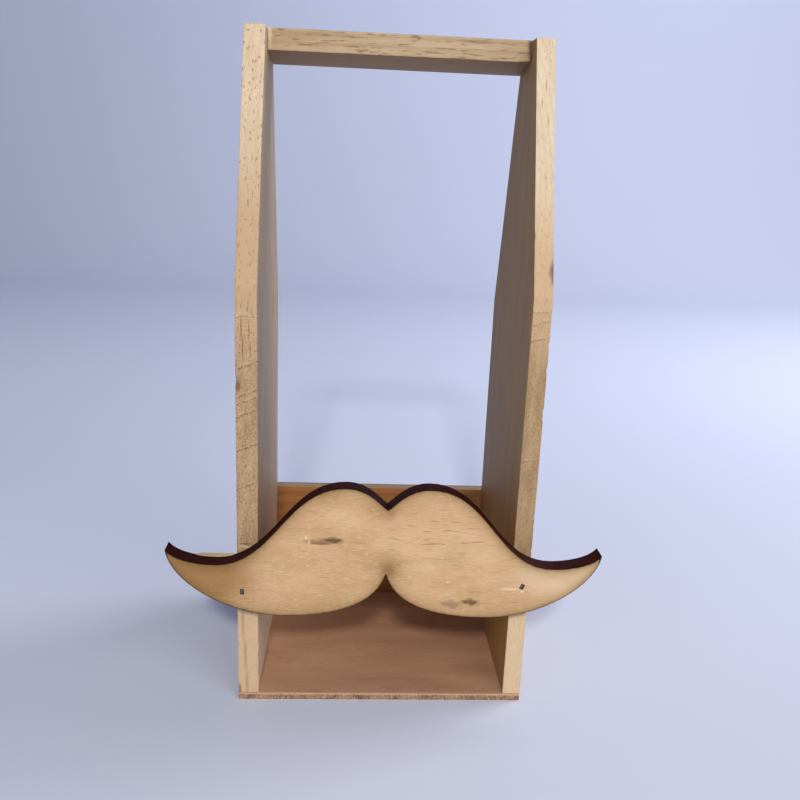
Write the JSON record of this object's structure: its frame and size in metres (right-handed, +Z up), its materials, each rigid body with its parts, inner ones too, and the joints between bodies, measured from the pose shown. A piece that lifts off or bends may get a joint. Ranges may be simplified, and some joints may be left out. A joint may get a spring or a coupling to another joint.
{
  "type": "eyeglasses display stand",
  "caption": "Open wooden display stand: tapered side boards on a thin base, a top rail, a low back board and a moustache-shaped plywood panel across the front.",
  "frame": {"origin": "middle of the base board's underside, on the surface that the stand rests on", "axes": "+Z up, +X to the right of someone who faces the moustache panel, +Y towards the back board"},
  "size_m": [0.1884, 0.1125, 0.293],
  "materials": {
    "side_pine": "bare sawn pine, matte",
    "rail_pine": "bare planed pine, matte",
    "base_ply": "bare thin plywood, matte",
    "back_wood": "bare planed wood, matte",
    "moustache_ply": "bare plywood with laser-burnt edges",
    "brad_steel": "dark plain steel"
  },
  "bodies": {
    "root": {"left_side": "side_pine", "right_side": "side_pine", "top_rail": "rail_pine", "base_board": "base_ply", "back_board": "back_wood", "moustache_panel": "moustache_ply", "moustache_brads": "brad_steel", "left_rail_brads": "brad_steel", "right_rail_brads": "brad_steel", "left_back_brads": "brad_steel", "right_back_brads": "brad_steel", "left_base_brads": "brad_steel", "right_base_brads": "brad_steel", "back_base_brads": "brad_steel"}
  },
  "joints": []
}
